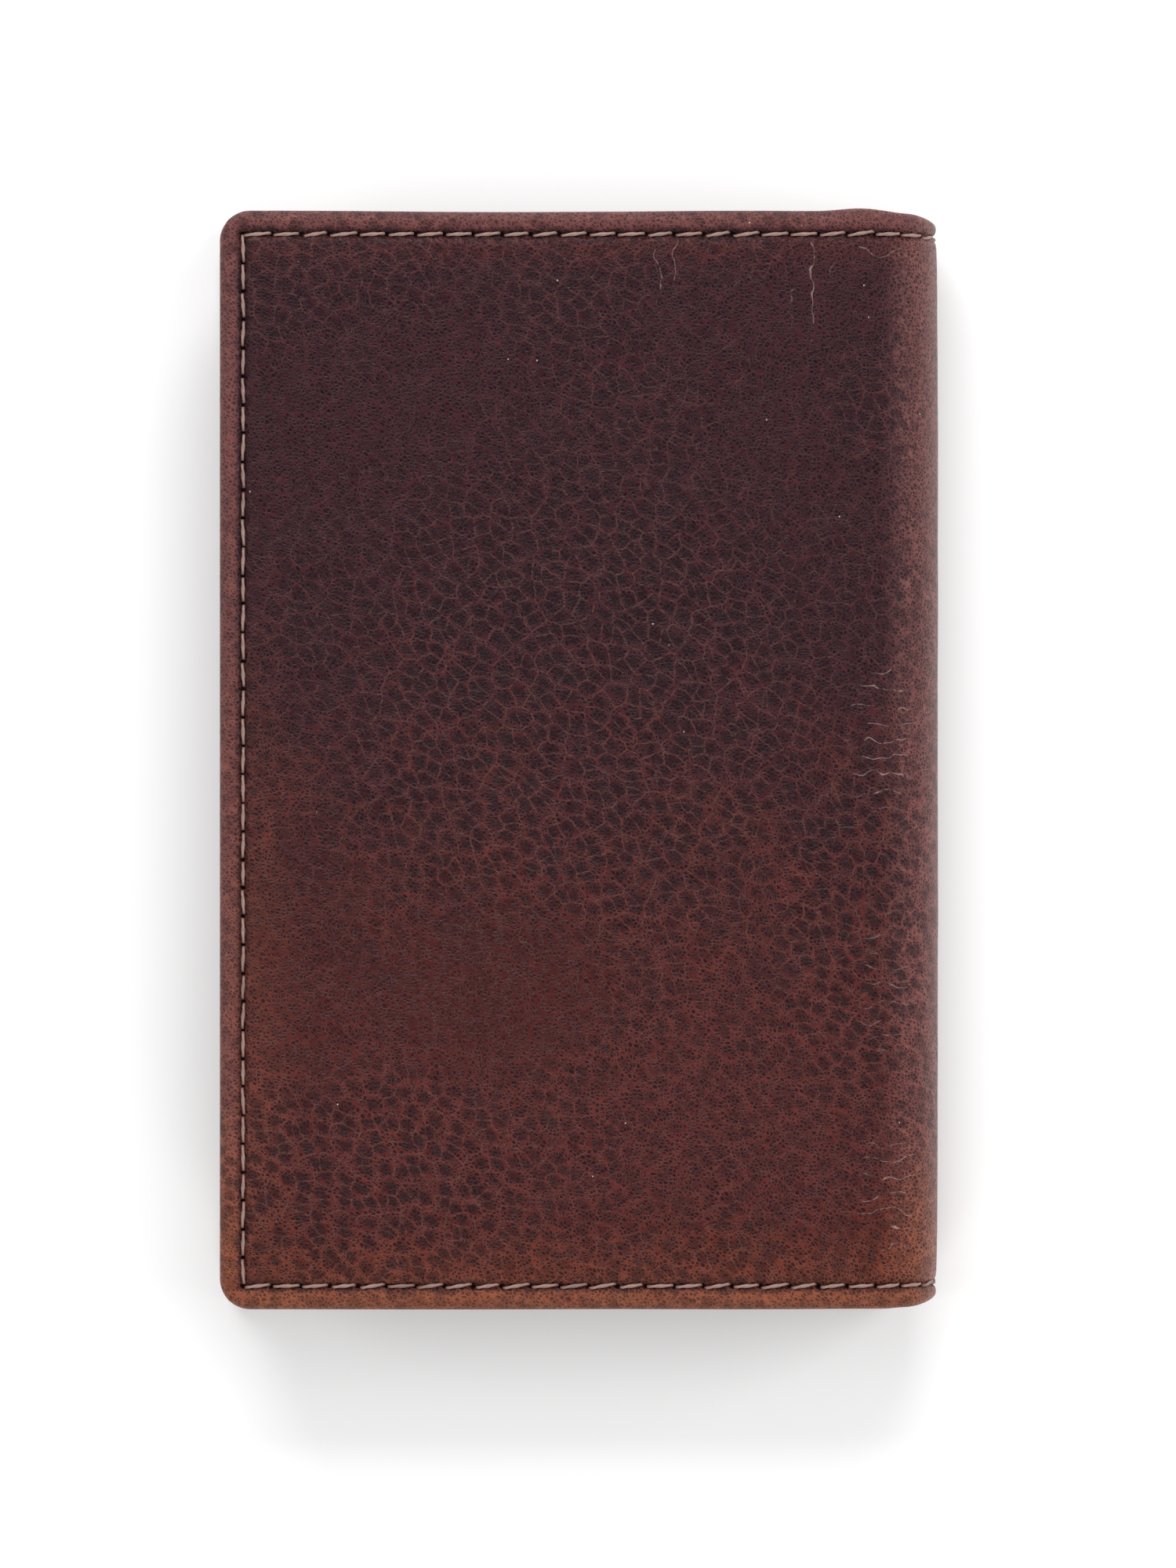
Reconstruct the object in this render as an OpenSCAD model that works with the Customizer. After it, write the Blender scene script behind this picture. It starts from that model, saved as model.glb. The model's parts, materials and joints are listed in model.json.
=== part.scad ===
// Folding business card case. One leather cover with turned edges wraps both halves and the
// spine. The back half carries a gusseted card pocket, the front half carries stepped slots.
// The closed case lies on its back: +X points to the spine, +Y up its height, and +Z from the
// back cover to the front cover. The origin is the middle of the underside. Leather, stiffener
// and lining are drawn cut along the spine's fold lines, so that each stretch between two folds
// is a body of its own.

/* [Closed case] */
// Width, from the free edges to the outside of the spine
case_w = 70; // [60:1:90]
// Height
case_h = 107; // [97:1:130]
// Thickness, from cover to cover
case_t = 13; // [10.5:0.5:18]
// Radius of the covers' free corners
corner_r = 3; // [2.5:0.5:8]
// How far the spine's ends stand back from the covers' ends
spine_dip = 0.5; // [0:0.1:1.2]

/* [Cover] */
// Thickness of the cover leather
leather_t = 1; // [0.8:0.1:1.4]
// Thickness of the stiffener behind the leather
stiffener_t = 0.5; // [0.3:0.1:1]
// Thickness of the pared leather that is turned in round the edges
turn_in_t = 0.7; // [0.4:0.1:1]
// Width of the turned-in border
turn_in_w = 8; // [5:0.5:12]
// How far the fillers inside the turned-in border stop short of the spine
filler_setback = 1; // [0.5:0.5:4]
// Thickness of the lining
lining_t = 0.4; // [0.2:0.1:0.8]
// Distance from the case's edge to the lining's edge
lining_inset = 1; // [0.5:0.1:2]

/* [Gusseted card pocket] */
// Thickness of the pocket's leather front
pocket_leather_t = 0.9; // [0.6:0.1:1.4]
// Distance from the case's edge to the pocket front's edge
pocket_inset = 1.2; // [0.8:0.1:2.5]
// Distance from the outside of the spine to the pocket's mouth
mouth_setback = 11; // [9:0.5:20]
// Radius of the thumb cut in the mouth
thumb_r = 10; // [8:1:20]
// Depth of the thumb cut
thumb_depth = 8; // [4:0.5:8]
// Thickness of the gusset
gusset_t = 0.4; // [0.3:0.1:0.7]
// Distance from the case's edge to the gusset's wall
gusset_inset = 3.2; // [2.8:0.1:5]
// How far the gusset's pleat folds inwards
pleat_depth = 3.8; // [2:0.2:6]

/* [Card slots] */
// Thickness of one slot's leather
slot_t = 0.55; // [0.4:0.05:0.8]
// Distance from the outside of the spine to the first slot's mouth
slot_setback = 13; // [11:0.5:20]
// Step from one slot's mouth to the next
slot_step = 8.5; // [5:0.5:14]
// Width of the crease line along each slot's mouth
crease_w = 0.5; // [0.3:0.1:0.8]
// Depth of the crease line
crease_d = 0.15; // [0.05:0.05:0.25]

/* [Thread] */
// Thickness of the thread
thread_d = 0.4; // [0.3:0.05:0.6]
// Spacing of the stitches
stitch_pitch = 2.8; // [2:0.1:4]
// Share of the spacing that each stitch covers
stitch_share = 0.75; // [0.5:0.05:0.85]
// Distance from the case's edge to the seam
stitch_inset = 2.3; // [1.8:0.1:4]
// Distance from the pocket front's or a slot's own edge to its seam or crease
trim_inset = 1.8; // [1.2:0.1:3]

/* [Clearances] */
// Free gap between the pocket front and the slots when the case is shut
closing_gap = 0.65; // [0.3:0.05:2]
// Gap between neighbouring stretches of the spine
fold_gap = 0.2; // [0.05:0.05:0.4]
// How much wider and deeper a stitch groove is than the thread
groove_gap = 0.05; // [0.02:0.01:0.15]

/* [Hidden] */
$fn = 64;
EPS = 0.01;
SLOTS = 3;
STRIPS = 3;
FOLD_STEP = 180 / (STRIPS + 1);

edge_t = leather_t + stiffener_t + turn_in_t;
edge_r = edge_t / 2;
lined_t = edge_t + lining_t;
free_x = -case_w / 2;
top_y = case_h / 2;
spine_r = case_t / 2;
panel_end_x = case_w / 2 - spine_r;
seam_y = top_y - stitch_inset;
mouth_x = case_w / 2 - mouth_setback;
pocket_gap = case_t - 2 * lined_t - SLOTS * slot_t - pocket_leather_t - closing_gap;
pocket_depth = lined_t + pocket_gap;
pocket_top = pocket_depth + pocket_leather_t;
pleat_rise = pocket_gap / 2 - gusset_t;
pleat_wall_w = gusset_t * norm([pleat_depth, pleat_rise]) / pleat_rise;
thumb_x = mouth_x + thumb_r - thumb_depth;
groove_w = thread_d + 2 * groove_gap;
groove_d = thread_d + groove_gap;
fold_gap_angle = fold_gap / 2 / spine_r * 180 / PI;

COVER_COLOR = [0.36, 0.2, 0.19];
INNER_COLOR = [0.33, 0.19, 0.16];
LINING_COLOR = [0.2, 0.13, 0.11];
STIFFENER_COLOR = [0.55, 0.45, 0.34];
FILLER_COLOR = [0.82, 0.79, 0.72];
THREAD_COLOR = [0.62, 0.49, 0.43];

// Both halves are drawn as the back half lies: z is the depth inwards from the outside face.
module front_half() {
    translate([0, 0, case_t]) mirror([0, 0, 1]) children();
}

// Draws its children at the case's top end and, mirrored, at its bottom end.
module both_ends() {
    for (end = [0, 1]) mirror([0, end, 0]) children();
}

// What is cut from a square corner that points to -x and +y, to round it.
module corner_cut(r) {
    difference() {
        translate([-r, -r]) square(2 * r);
        translate([r, -r]) circle(r);
    }
}

// A half's outline, drawn in by inset, with its free corners rounded and its spine side square.
module outline(inset, end_x, corner = corner_r) {
    x = free_x + inset;
    y = top_y - inset;
    difference() {
        translate([x, -y]) square([end_x - x, 2 * y]);
        both_ends() translate([x, y]) corner_cut(max(corner - inset, 0.5));
    }
}

// The section of a rolled edge, bulging towards -x, with its inner side on x = 0.
module rolled_section() {
    intersection() {
        circle(edge_r);
        translate([-2 * edge_r, -edge_r]) square([2 * edge_r, 2 * edge_r]);
    }
}

// The rolled rim along a cover's free edge, round its corners and along its ends.
module rolled_rim() {
    run = panel_end_x - free_x - corner_r;
    straight = case_h - 2 * corner_r;
    translate([free_x + edge_r, straight / 2, edge_r])
        rotate([90, 0, 0]) linear_extrude(straight) rolled_section();
    both_ends() {
        translate([free_x + corner_r, edge_r - top_y, edge_r])
            rotate([90, 0, 90]) linear_extrude(run) rolled_section();
        translate([free_x + corner_r, corner_r - top_y, edge_r])
            rotate([0, 0, 180]) rotate_extrude(angle = 90)
                translate([corner_r - edge_r, 0]) mirror([1, 0]) rolled_section();
    }
}

// The groove that sinks the seam into a cover's outside, along its three sewn edges.
module seam_groove() {
    x = free_x + stitch_inset - groove_w / 2;
    y = seam_y + groove_w / 2;
    translate([x, -y, -EPS]) cube([groove_w, 2 * y, groove_d + EPS]);
    both_ends() translate([x, seam_y - groove_w / 2, -EPS])
        cube([panel_end_x - x + EPS, groove_w, groove_d + EPS]);
}

// The leather of one half: the skin, the border turned in over the stiffener, and the rim.
module cover_panel() {
    difference() {
        union() {
            linear_extrude(leather_t) outline(edge_r, panel_end_x);
            translate([0, 0, leather_t + stiffener_t]) linear_extrude(turn_in_t) difference() {
                outline(edge_r, panel_end_x);
                translate([free_x + turn_in_w, turn_in_w - top_y])
                    square([case_w, case_h - 2 * turn_in_w]);
            }
            rolled_rim();
        }
        seam_groove();
    }
}

// Turns a section, drawn with x as the radius and y as the height, about the spine's axis.
// The angles run from 0 at the end of the back half to 180 at the end of the front half.
module about_spine(from, to) {
    translate([panel_end_x, 0, spine_r]) rotate([90, 0, 0]) rotate([0, 0, from - 90])
        rotate_extrude(angle = to - from) children();
}

// The stretch of the spine that is rigid with a half, up to its first fold.
module spine_root() {
    about_spine(0, FOLD_STEP / 2 - fold_gap_angle) children();
}

// The stretch of the spine between fold i and the next.
module spine_strip(i) {
    about_spine((i - 0.5) * FOLD_STEP + fold_gap_angle, (i + 0.5) * FOLD_STEP - fold_gap_angle)
        children();
}

// The section of the spine's leather, with its ends turned in and its seam grooves.
module spine_leather_section() {
    end_y = top_y - spine_dip - edge_r;
    border_y = top_y - turn_in_w;
    difference() {
        union() {
            translate([spine_r - leather_t, -end_y]) square([leather_t, 2 * end_y]);
            both_ends() {
                translate([spine_r - edge_t, border_y]) square([turn_in_t, end_y - border_y]);
                translate([spine_r - edge_r, end_y]) rotate(-90) rolled_section();
            }
        }
        both_ends() translate([spine_r - groove_d, seam_y - groove_w / 2])
            square([2 * groove_d, groove_w]);
    }
}

module spine_stiffener_section() {
    end_y = top_y - spine_dip - edge_r;
    translate([spine_r - leather_t - stiffener_t, -end_y]) square([stiffener_t, 2 * end_y]);
}

module spine_lining_section() {
    end_y = top_y - spine_dip - lining_inset;
    translate([spine_r - lined_t, -end_y]) square([lining_t, 2 * end_y]);
}

module stiffener_panel() {
    translate([0, 0, leather_t]) linear_extrude(stiffener_t) outline(edge_r, panel_end_x);
}

// The filler takes up the space inside the turned-in border, so that the lining lies flat.
module filler_panel() {
    x = free_x + turn_in_w;
    y = top_y - turn_in_w;
    translate([x, -y, leather_t + stiffener_t])
        cube([panel_end_x - filler_setback - x, 2 * y, turn_in_t]);
}

module lining_panel() {
    translate([0, 0, edge_t]) linear_extrude(lining_t) outline(lining_inset, panel_end_x);
}

// One stitch: a thread of the given length, centred, along x.
module stitch(length) {
    rotate([0, 90, 0]) cylinder(d = thread_d, h = length, center = true);
}

// A row of stitches from a to b, at the given depth.
module stitch_row(a, b, depth) {
    count = max(1, round(norm(b - a) / stitch_pitch));
    step = (b - a) / count;
    for (k = [0 : count - 1])
        translate([each (a + step * (k + 0.5)), depth])
            rotate([0, 0, atan2(step[1], step[0])]) stitch(norm(step) * stitch_share);
}

// The seam along a half's three sewn edges.
module cover_stitches() {
    x = free_x + stitch_inset;
    depth = groove_d - thread_d / 2;
    stitch_row([x, -seam_y], [x, seam_y], depth);
    both_ends() stitch_row([x, seam_y], [panel_end_x, seam_y], depth);
}

// The stitches at both ends of the spine, centred on the given angles.
module spine_stitches(angles) {
    half = FOLD_STEP / 4 * stitch_share;
    for (a = angles)
        about_spine(a - half, a + half) both_ends()
            translate([spine_r - groove_d + thread_d / 2, seam_y]) circle(d = thread_d);
}

// One leg of the pleat, as a solid block from one inset and depth to another.
module pleat_block(inset_a, inset_b, depth_a, depth_b, end_x) {
    hull() {
        translate([0, 0, depth_a]) linear_extrude(EPS) outline(inset_a, end_x, 0);
        translate([0, 0, depth_b - EPS]) linear_extrude(EPS) outline(inset_b, end_x, 0);
    }
}

// A flange of the gusset, glued flat along three sides.
module gusset_flange(depth) {
    inner = gusset_inset + pleat_wall_w;
    translate([0, 0, depth]) linear_extrude(gusset_t) difference() {
        outline(pocket_inset, mouth_x);
        translate([free_x + inner, inner - top_y]) square([case_w, case_h - 2 * inner]);
    }
}

// The gusset round the pocket's two ends and free side: two flanges and a pleat between them.
module gusset() {
    low = lined_t + gusset_t;
    mid = low + pleat_rise;
    high = pocket_depth - gusset_t;
    wall = gusset_inset + pleat_wall_w;
    fold = gusset_inset + pleat_depth;
    fold_wall = fold + pleat_wall_w;
    gusset_flange(lined_t);
    gusset_flange(high);
    difference() {
        union() {
            pleat_block(gusset_inset, fold, low, mid, mouth_x);
            pleat_block(fold, gusset_inset, mid, high, mouth_x);
        }
        pleat_block(wall, fold_wall, low - EPS, mid + EPS, mouth_x + 1);
        pleat_block(fold_wall, wall, mid - EPS, high + EPS, mouth_x + 1);
    }
}

// The pocket's own seam runs along three sides, up the mouth and round the thumb cut.
seam_r = thumb_r + trim_inset;
seam_x = mouth_x - trim_inset;
seam_half = sqrt(pow(seam_r, 2) - pow(thumb_x - seam_x, 2));
seam_turn = asin(seam_half / seam_r);
pocket_seam_x = free_x + pocket_inset + trim_inset;
pocket_seam_y = top_y - pocket_inset - trim_inset;

module pocket_outline() {
    difference() {
        outline(pocket_inset, mouth_x);
        translate([thumb_x, 0]) circle(thumb_r);
    }
}

// The band of the pocket's seam, of the groove's width.
module pocket_seam_band() {
    w = groove_w / 2;
    difference() {
        translate([pocket_seam_x - w, -pocket_seam_y - w])
            square([seam_x - pocket_seam_x + groove_w, 2 * (pocket_seam_y + w)]);
        translate([pocket_seam_x + w, w - pocket_seam_y])
            square([seam_x - pocket_seam_x - groove_w, 2 * (pocket_seam_y - w)]);
        translate([thumb_x, 0]) circle(seam_r);
    }
    intersection() {
        translate([thumb_x, 0]) difference() {
            circle(seam_r + w);
            circle(seam_r - w);
        }
        translate([pocket_seam_x, -pocket_seam_y])
            square([seam_x - pocket_seam_x, 2 * pocket_seam_y]);
    }
}

module pocket_panel() {
    difference() {
        translate([0, 0, pocket_depth]) linear_extrude(pocket_leather_t) pocket_outline();
        translate([0, 0, pocket_top - groove_d]) linear_extrude(2 * groove_d) pocket_seam_band();
    }
}

module pocket_stitches() {
    depth = pocket_top - groove_d + thread_d / 2;
    count = round(2 * seam_turn * PI / 180 * seam_r / stitch_pitch);
    turn = 2 * seam_turn / count;
    stitch_row([pocket_seam_x, -pocket_seam_y], [pocket_seam_x, pocket_seam_y], depth);
    both_ends() {
        stitch_row([pocket_seam_x, pocket_seam_y], [seam_x, pocket_seam_y], depth);
        stitch_row([seam_x, seam_half], [seam_x, pocket_seam_y], depth);
    }
    for (k = [0 : count - 1])
        translate([thumb_x, 0, depth])
            rotate([0, 0, 180 - seam_turn + turn * (k + 0.5 - stitch_share / 2)])
                rotate_extrude(angle = turn * stitch_share)
                    translate([seam_r, 0]) circle(d = thread_d);
}

// Slot i, counted from the lining, with a crease line along its mouth.
module slot_panel(i) {
    depth = lined_t + i * slot_t;
    end_x = case_w / 2 - slot_setback - i * slot_step;
    difference() {
        translate([0, 0, depth]) linear_extrude(slot_t) outline(pocket_inset, end_x);
        translate([end_x - trim_inset, -top_y, depth + slot_t - crease_d])
            cube([crease_w, case_h, 2 * crease_d]);
    }
}

module half_cover() {
    cover_panel();
    spine_root() spine_leather_section();
}

module half_stiffener() {
    stiffener_panel();
    spine_root() spine_stiffener_section();
}

module half_lining() {
    lining_panel();
    spine_root() spine_lining_section();
}

module half_thread() {
    cover_stitches();
    spine_stitches([FOLD_STEP / 4]);
}

module back_cover() color(COVER_COLOR) half_cover();
module back_stiffener() color(STIFFENER_COLOR) half_stiffener();
module back_filler() color(FILLER_COLOR) filler_panel();
module back_lining() color(LINING_COLOR) half_lining();
module back_thread() color(THREAD_COLOR) half_thread();

module pocket_gusset() color(LINING_COLOR) gusset();
module pocket_front() color(INNER_COLOR) pocket_panel();
module pocket_thread() color(THREAD_COLOR) pocket_stitches();

module spine_leather(i) color(COVER_COLOR) spine_strip(i) spine_leather_section();
module spine_stiffener(i) color(STIFFENER_COLOR) spine_strip(i) spine_stiffener_section();
module spine_lining(i) color(LINING_COLOR) spine_strip(i) spine_lining_section();
module spine_thread(i) color(THREAD_COLOR)
    spine_stitches([(i - 0.25) * FOLD_STEP, (i + 0.25) * FOLD_STEP]);

module front_cover() color(COVER_COLOR) front_half() half_cover();
module front_stiffener() color(STIFFENER_COLOR) front_half() half_stiffener();
module front_filler() color(FILLER_COLOR) front_half() filler_panel();
module front_lining() color(LINING_COLOR) front_half() half_lining();
module front_thread() color(THREAD_COLOR) front_half() half_thread();
module card_slot(i) color(INNER_COLOR) front_half() slot_panel(i);

back_cover();
back_stiffener();
back_filler();
back_lining();
back_thread();
pocket_gusset();
pocket_front();
pocket_thread();
spine_leather(1);  // spine_leather_1
spine_leather(2);  // spine_leather_2
spine_leather(3);  // spine_leather_3
spine_stiffener(1);  // spine_stiffener_1
spine_stiffener(2);  // spine_stiffener_2
spine_stiffener(3);  // spine_stiffener_3
spine_lining(1);  // spine_lining_1
spine_lining(2);  // spine_lining_2
spine_lining(3);  // spine_lining_3
spine_thread(1);  // spine_thread_1
spine_thread(2);  // spine_thread_2
spine_thread(3);  // spine_thread_3
front_cover();
front_stiffener();
front_filler();
front_lining();
front_thread();
card_slot(0);  // card_slot_1
card_slot(1);  // card_slot_2
card_slot(2);  // card_slot_3
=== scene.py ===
"""Folding business card case: leather cover, seams, lining, card pocket and card slots."""
import json
import math

import bpy
import numpy as np
from bpy.props import FloatProperty, FloatVectorProperty, PointerProperty
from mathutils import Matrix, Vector, noise
from mathutils.geometry import delaunay_2d_cdt


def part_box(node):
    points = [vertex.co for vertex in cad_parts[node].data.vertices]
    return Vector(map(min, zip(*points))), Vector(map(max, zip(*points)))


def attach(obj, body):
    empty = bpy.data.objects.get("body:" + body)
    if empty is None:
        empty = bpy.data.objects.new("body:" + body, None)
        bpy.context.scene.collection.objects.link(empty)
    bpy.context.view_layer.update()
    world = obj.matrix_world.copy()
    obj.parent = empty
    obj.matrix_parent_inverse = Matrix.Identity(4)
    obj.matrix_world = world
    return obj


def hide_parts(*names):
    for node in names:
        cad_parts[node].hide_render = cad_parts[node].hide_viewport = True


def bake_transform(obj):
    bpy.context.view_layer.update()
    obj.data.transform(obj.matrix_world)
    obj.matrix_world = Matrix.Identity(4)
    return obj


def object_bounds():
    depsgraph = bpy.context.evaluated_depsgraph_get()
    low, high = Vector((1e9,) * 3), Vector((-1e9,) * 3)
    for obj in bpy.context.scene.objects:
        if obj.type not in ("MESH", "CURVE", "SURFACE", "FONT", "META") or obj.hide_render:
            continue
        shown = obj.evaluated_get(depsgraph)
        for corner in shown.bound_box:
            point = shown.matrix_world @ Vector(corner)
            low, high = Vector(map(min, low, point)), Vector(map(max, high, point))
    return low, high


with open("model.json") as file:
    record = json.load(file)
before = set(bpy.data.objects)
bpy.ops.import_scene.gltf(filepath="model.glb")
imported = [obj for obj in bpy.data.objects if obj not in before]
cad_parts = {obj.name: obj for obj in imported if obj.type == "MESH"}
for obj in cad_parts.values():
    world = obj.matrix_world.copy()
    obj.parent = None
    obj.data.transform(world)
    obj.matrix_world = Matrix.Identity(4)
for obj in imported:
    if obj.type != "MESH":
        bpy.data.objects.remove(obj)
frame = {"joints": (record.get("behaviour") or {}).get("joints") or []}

bl_info = {
    "name": "Business card case",
    "version": (1, 0, 0),
    "blender": (4, 5, 0),
    "location": "View3D > Sidebar > Card case",
    "description": "Makes the leather, seams, lining and pockets of a folding card case",
    "category": "Object",
}

MM = 0.001

# The closed case, as the frame holds it. It lies on its back with its spine on +X.
LOW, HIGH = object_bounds()
HALF_H = HIGH.y
SPINE_R = HIGH.z / 2
PANEL_END_X = HIGH.x - SPINE_R
PANEL_RUN = PANEL_END_X - LOW.x
COVER_RUN = 2 * PANEL_RUN + math.pi * SPINE_R
SPINE_MIDDLE = COVER_RUN / 2

# The layers, as depths in from the outside face.
RIM_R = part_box("back_lining")[0].z / 2
LINED_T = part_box("pocket_gusset")[0].z
THREAD_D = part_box("pocket_thread")[1].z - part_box("pocket_thread")[0].z
SEAM_INSET = HALF_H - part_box("back_thread")[1].y + THREAD_D / 2

# The spine's folds, in order from the back half to the front half.
FOLDS = [joint for joint in frame["joints"] if joint["name"].startswith("fold")]
FOLD_TURN = math.pi / len(FOLDS)


def wrap(run, height, depth):
    """Places flat points on the closed case. run goes from the back half's free edge round the
    spine to the front half's, and depth goes in from the outside face."""
    turn = np.clip((run - PANEL_RUN) / SPINE_R, 0, math.pi)
    back = np.minimum(run - PANEL_RUN, 0)
    front = np.maximum(run - PANEL_RUN - math.pi * SPINE_R, 0)
    radius = SPINE_R - depth
    x = PANEL_END_X + radius * np.sin(turn) + back - front
    z = SPINE_R - radius * np.cos(turn)
    return np.column_stack([x, height, z])


def cut_run(index):
    """Where along the run the stretch round fold number index begins."""
    if index == 0:
        return 0.0
    if index == len(FOLDS):
        return COVER_RUN
    return PANEL_RUN + SPINE_R * FOLD_TURN * index


def smooth(low, high, value):
    """0 below low, 1 above high, and a smooth step between them."""
    t = np.clip((value - low) / (high - low), 0, 1)
    return t * t * (3 - 2 * t)


def bump(value, centre, width):
    """1 at the centre, falling away smoothly to 0."""
    return np.exp(-(((value - centre) / width) ** 2))


def rounded(inset, radius):
    """How far a rounded edge of that radius lies below its face, at a distance from the edge."""
    return radius - np.sqrt(np.maximum(radius**2 - np.maximum(radius - inset, 0) ** 2, 0))


def way_along(line):
    """How far along a line each of its points lies."""
    return np.cumsum(np.concatenate([[0], np.linalg.norm(np.diff(line, axis=0), axis=1)]))


def rough(x, y, size, seed):
    """Smooth random heights from -1 to 1 over the plane, with features of the given size."""
    points = np.column_stack([x / size, y / size, np.full(len(x), seed * 7.3)])
    return np.array([noise.noise(Vector(p)) for p in points])


# Drawing node trees ---------------------------------------------------------------------------


class Wire:
    """A node's output. Arithmetic on it adds Math nodes to its tree."""

    def __init__(self, net, socket):
        self.net, self.socket = net, socket

    def math(self, operation, *others):
        return self.net.math(operation, self, *others)

    def __add__(self, other):
        return self.math("ADD", other)

    def __sub__(self, other):
        return self.math("SUBTRACT", other)

    def __rsub__(self, other):
        return self.net.math("SUBTRACT", other, self)

    def __mul__(self, other):
        return self.math("MULTIPLY", other)

    def __truediv__(self, other):
        return self.math("DIVIDE", other)

    def __abs__(self):
        return self.math("ABSOLUTE")

    __radd__ = __add__
    __rmul__ = __mul__


class Net:
    """A node tree that is being drawn."""

    def __init__(self, tree):
        self.tree = tree

    def node(self, kind, settings=None, values=None, out=0):
        """Adds a node, sets its settings, then sets or links its inputs. Gives one output."""
        made = self.tree.nodes.new(kind)
        for name, value in (settings or {}).items():
            setattr(made, name, value)
        for key, value in (values or {}).items():
            if isinstance(value, Wire):
                self.tree.links.new(value.socket, made.inputs[key])
            else:
                made.inputs[key].default_value = value
        return Wire(self, made.outputs[out]) if made.outputs else None

    def math(self, operation, *values):
        return self.node("ShaderNodeMath", {"operation": operation}, dict(enumerate(values)))

    def vector(self, operation, a, b):
        return self.node("ShaderNodeVectorMath", {"operation": operation}, {0: a, 1: b})

    def scaled(self, vector, *factors):
        return self.vector("MULTIPLY", vector, factors)

    def place(self):
        """The place on the finished piece, in metres."""
        return self.node("ShaderNodeTexCoord", None, None, "Object")

    def flat_place(self):
        """The place on the skin or the cloth laid flat, in metres."""
        return self.node("ShaderNodeAttribute", {"attribute_name": "flat"}, None, 1)

    def relief(self, height, strength, distance):
        """A normal that follows heights, distance millimetres apart from 0 to 1."""
        values = {"Strength": strength, "Distance": distance * MM, "Height": height}
        return self.node("ShaderNodeBump", None, values)

    def shaken(self, vector, scale, reach, **values):
        """vector moved about in its plane by soft noise."""
        values = {"Vector": vector, "Scale": scale, **values}
        noise_colour = self.node("ShaderNodeTexNoise", None, values, 1)
        move = self.vector("SUBTRACT", noise_colour, (0.5, 0.5, 0.5))
        return self.vector("ADD", vector, self.scaled(move, reach, reach, 0.0))

    def split(self, vector):
        made = self.node("ShaderNodeSeparateXYZ", None, {0: vector})
        return [Wire(self, output) for output in made.socket.node.outputs]

    def mix(self, factor, a, b):
        return self.node("ShaderNodeMix", {"data_type": "RGBA"}, {0: factor, 6: a, 7: b}, 2)

    def step(self, low, high, value):
        """0 below low, 1 above high, and smooth between them."""
        settings = {"interpolation_type": "SMOOTHSTEP"}
        return self.node("ShaderNodeMapRange", settings, {0: value, 1: low, 2: high})

    def noise(self, vector, scale, detail=2.0, roughness=0.5):
        values = {"Vector": vector, "Scale": scale, "Detail": detail, "Roughness": roughness}
        return self.node("ShaderNodeTexNoise", None, values)

    def cells(self, vector, scale, feature="F1", space="3D"):
        settings = {"feature": feature, "voronoi_dimensions": space}
        return self.node("ShaderNodeTexVoronoi", settings, {"Vector": vector, "Scale": scale})

    def creases(self, vector, scale, width):
        """A net of thin lines, 1 on the line and 0 beside it."""
        return 1 - self.step(0.0, width, self.cells(vector, scale, "DISTANCE_TO_EDGE", "2D"))

    def ripples(self, value, spacing):
        """Thin lines, spacing millimetres apart, 1 on the line and 0 beside it."""
        half_width = 0.1
        near = (value / spacing).math("PINGPONG", 0.5)
        return 1 - self.step(0.0, half_width / spacing, near)

    def turned(self, vector, degrees, stretch):
        """vector turned in its plane, then stretched along the two directions it turned to."""
        values = {"Vector": vector, "Angle": math.radians(degrees)}
        turned = self.node("ShaderNodeVectorRotate", {"rotation_type": "Z_AXIS"}, values)
        return self.scaled(turned, *stretch, 1.0)


def colour(values):
    return (*values, 1.0)


def surface(name, draw, shader_values):
    """A new material. draw(net) gives what its Principled BSDF's varying sockets take."""
    material = bpy.data.materials.new(name)
    material.use_nodes = True
    tree = material.node_tree
    shader = tree.nodes["Principled BSDF"]
    for key, value in shader_values.items():
        shader.inputs[key].default_value = value
    for key, wire in draw(Net(tree)).items():
        tree.links.new(wire.socket, shader.inputs[key])
    return material


def needle_holes(net, along, across, length, pitch, area):
    """1 in the needle holes of one of the seam's rows, and 0 away from them, in millimetres."""
    inset = SEAM_INSET / MM
    count = round((length / MM - 2 * inset) / (pitch / MM))
    step = (length / MM - 2 * inset) / count
    place = (along - inset) / step
    nearest = place.math("ROUND").math("MAXIMUM", 0.0).math("MINIMUM", count)
    off_along = (place - nearest) * step
    off_across = (across - inset) * 1.35
    away = off_along * off_along + off_across * off_across
    return 1 - net.step(0.03 * area, 0.14 * area, away)


def spot(net, run, height, x, y, wide, tall):
    """1 at a place on the front, given as on the closed case, fading to 0 round it, all in
    millimetres."""
    across = (run - ((COVER_RUN - PANEL_RUN + PANEL_END_X) / MM - x)) / wide
    up = (height - y) / tall
    return 1 - net.step(0.1, 1.0, across * across + up * up)


def most(*wires):
    """The greatest of several values."""
    found = wires[0]
    for wire in wires[1:]:
        found = found.math("MAXIMUM", wire)
    return found


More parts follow.
